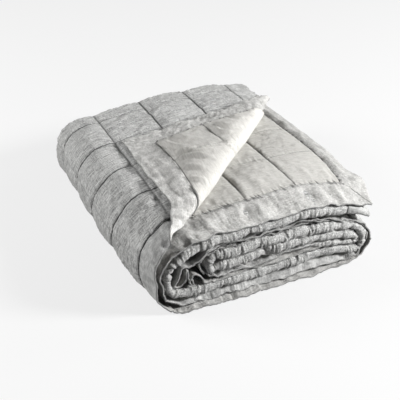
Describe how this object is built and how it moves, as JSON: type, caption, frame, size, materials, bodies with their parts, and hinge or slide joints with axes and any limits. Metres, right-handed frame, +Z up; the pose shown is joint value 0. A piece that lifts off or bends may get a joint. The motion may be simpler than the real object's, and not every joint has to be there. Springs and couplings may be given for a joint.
{
  "type": "bedspread",
  "caption": "Quilted linen bedspread with a plain sewn border, folded across its width and rolled flat, one corner turned back over the pack.",
  "frame": {"origin": "on the ground under the middle of the folded pack", "axes": "+Z up; -Y is the end where the rolled layers and the borders show; -X is the large outer fold, +X the free end of the top pass"},
  "size_m": [0.4692, 0.5026, 0.2054],
  "materials": {
    "quilted_linen": "matt washed linen, grey on the face and pale on the reverse",
    "border_linen": "matt washed grey linen"
  },
  "bodies": {
    "root": {"quilted_panel": "quilted_linen", "border_side_outer": "border_linen", "border_side_inner": "border_linen", "border_end_outer": "border_linen", "border_end_inner": "border_linen"}
  },
  "joints": []
}
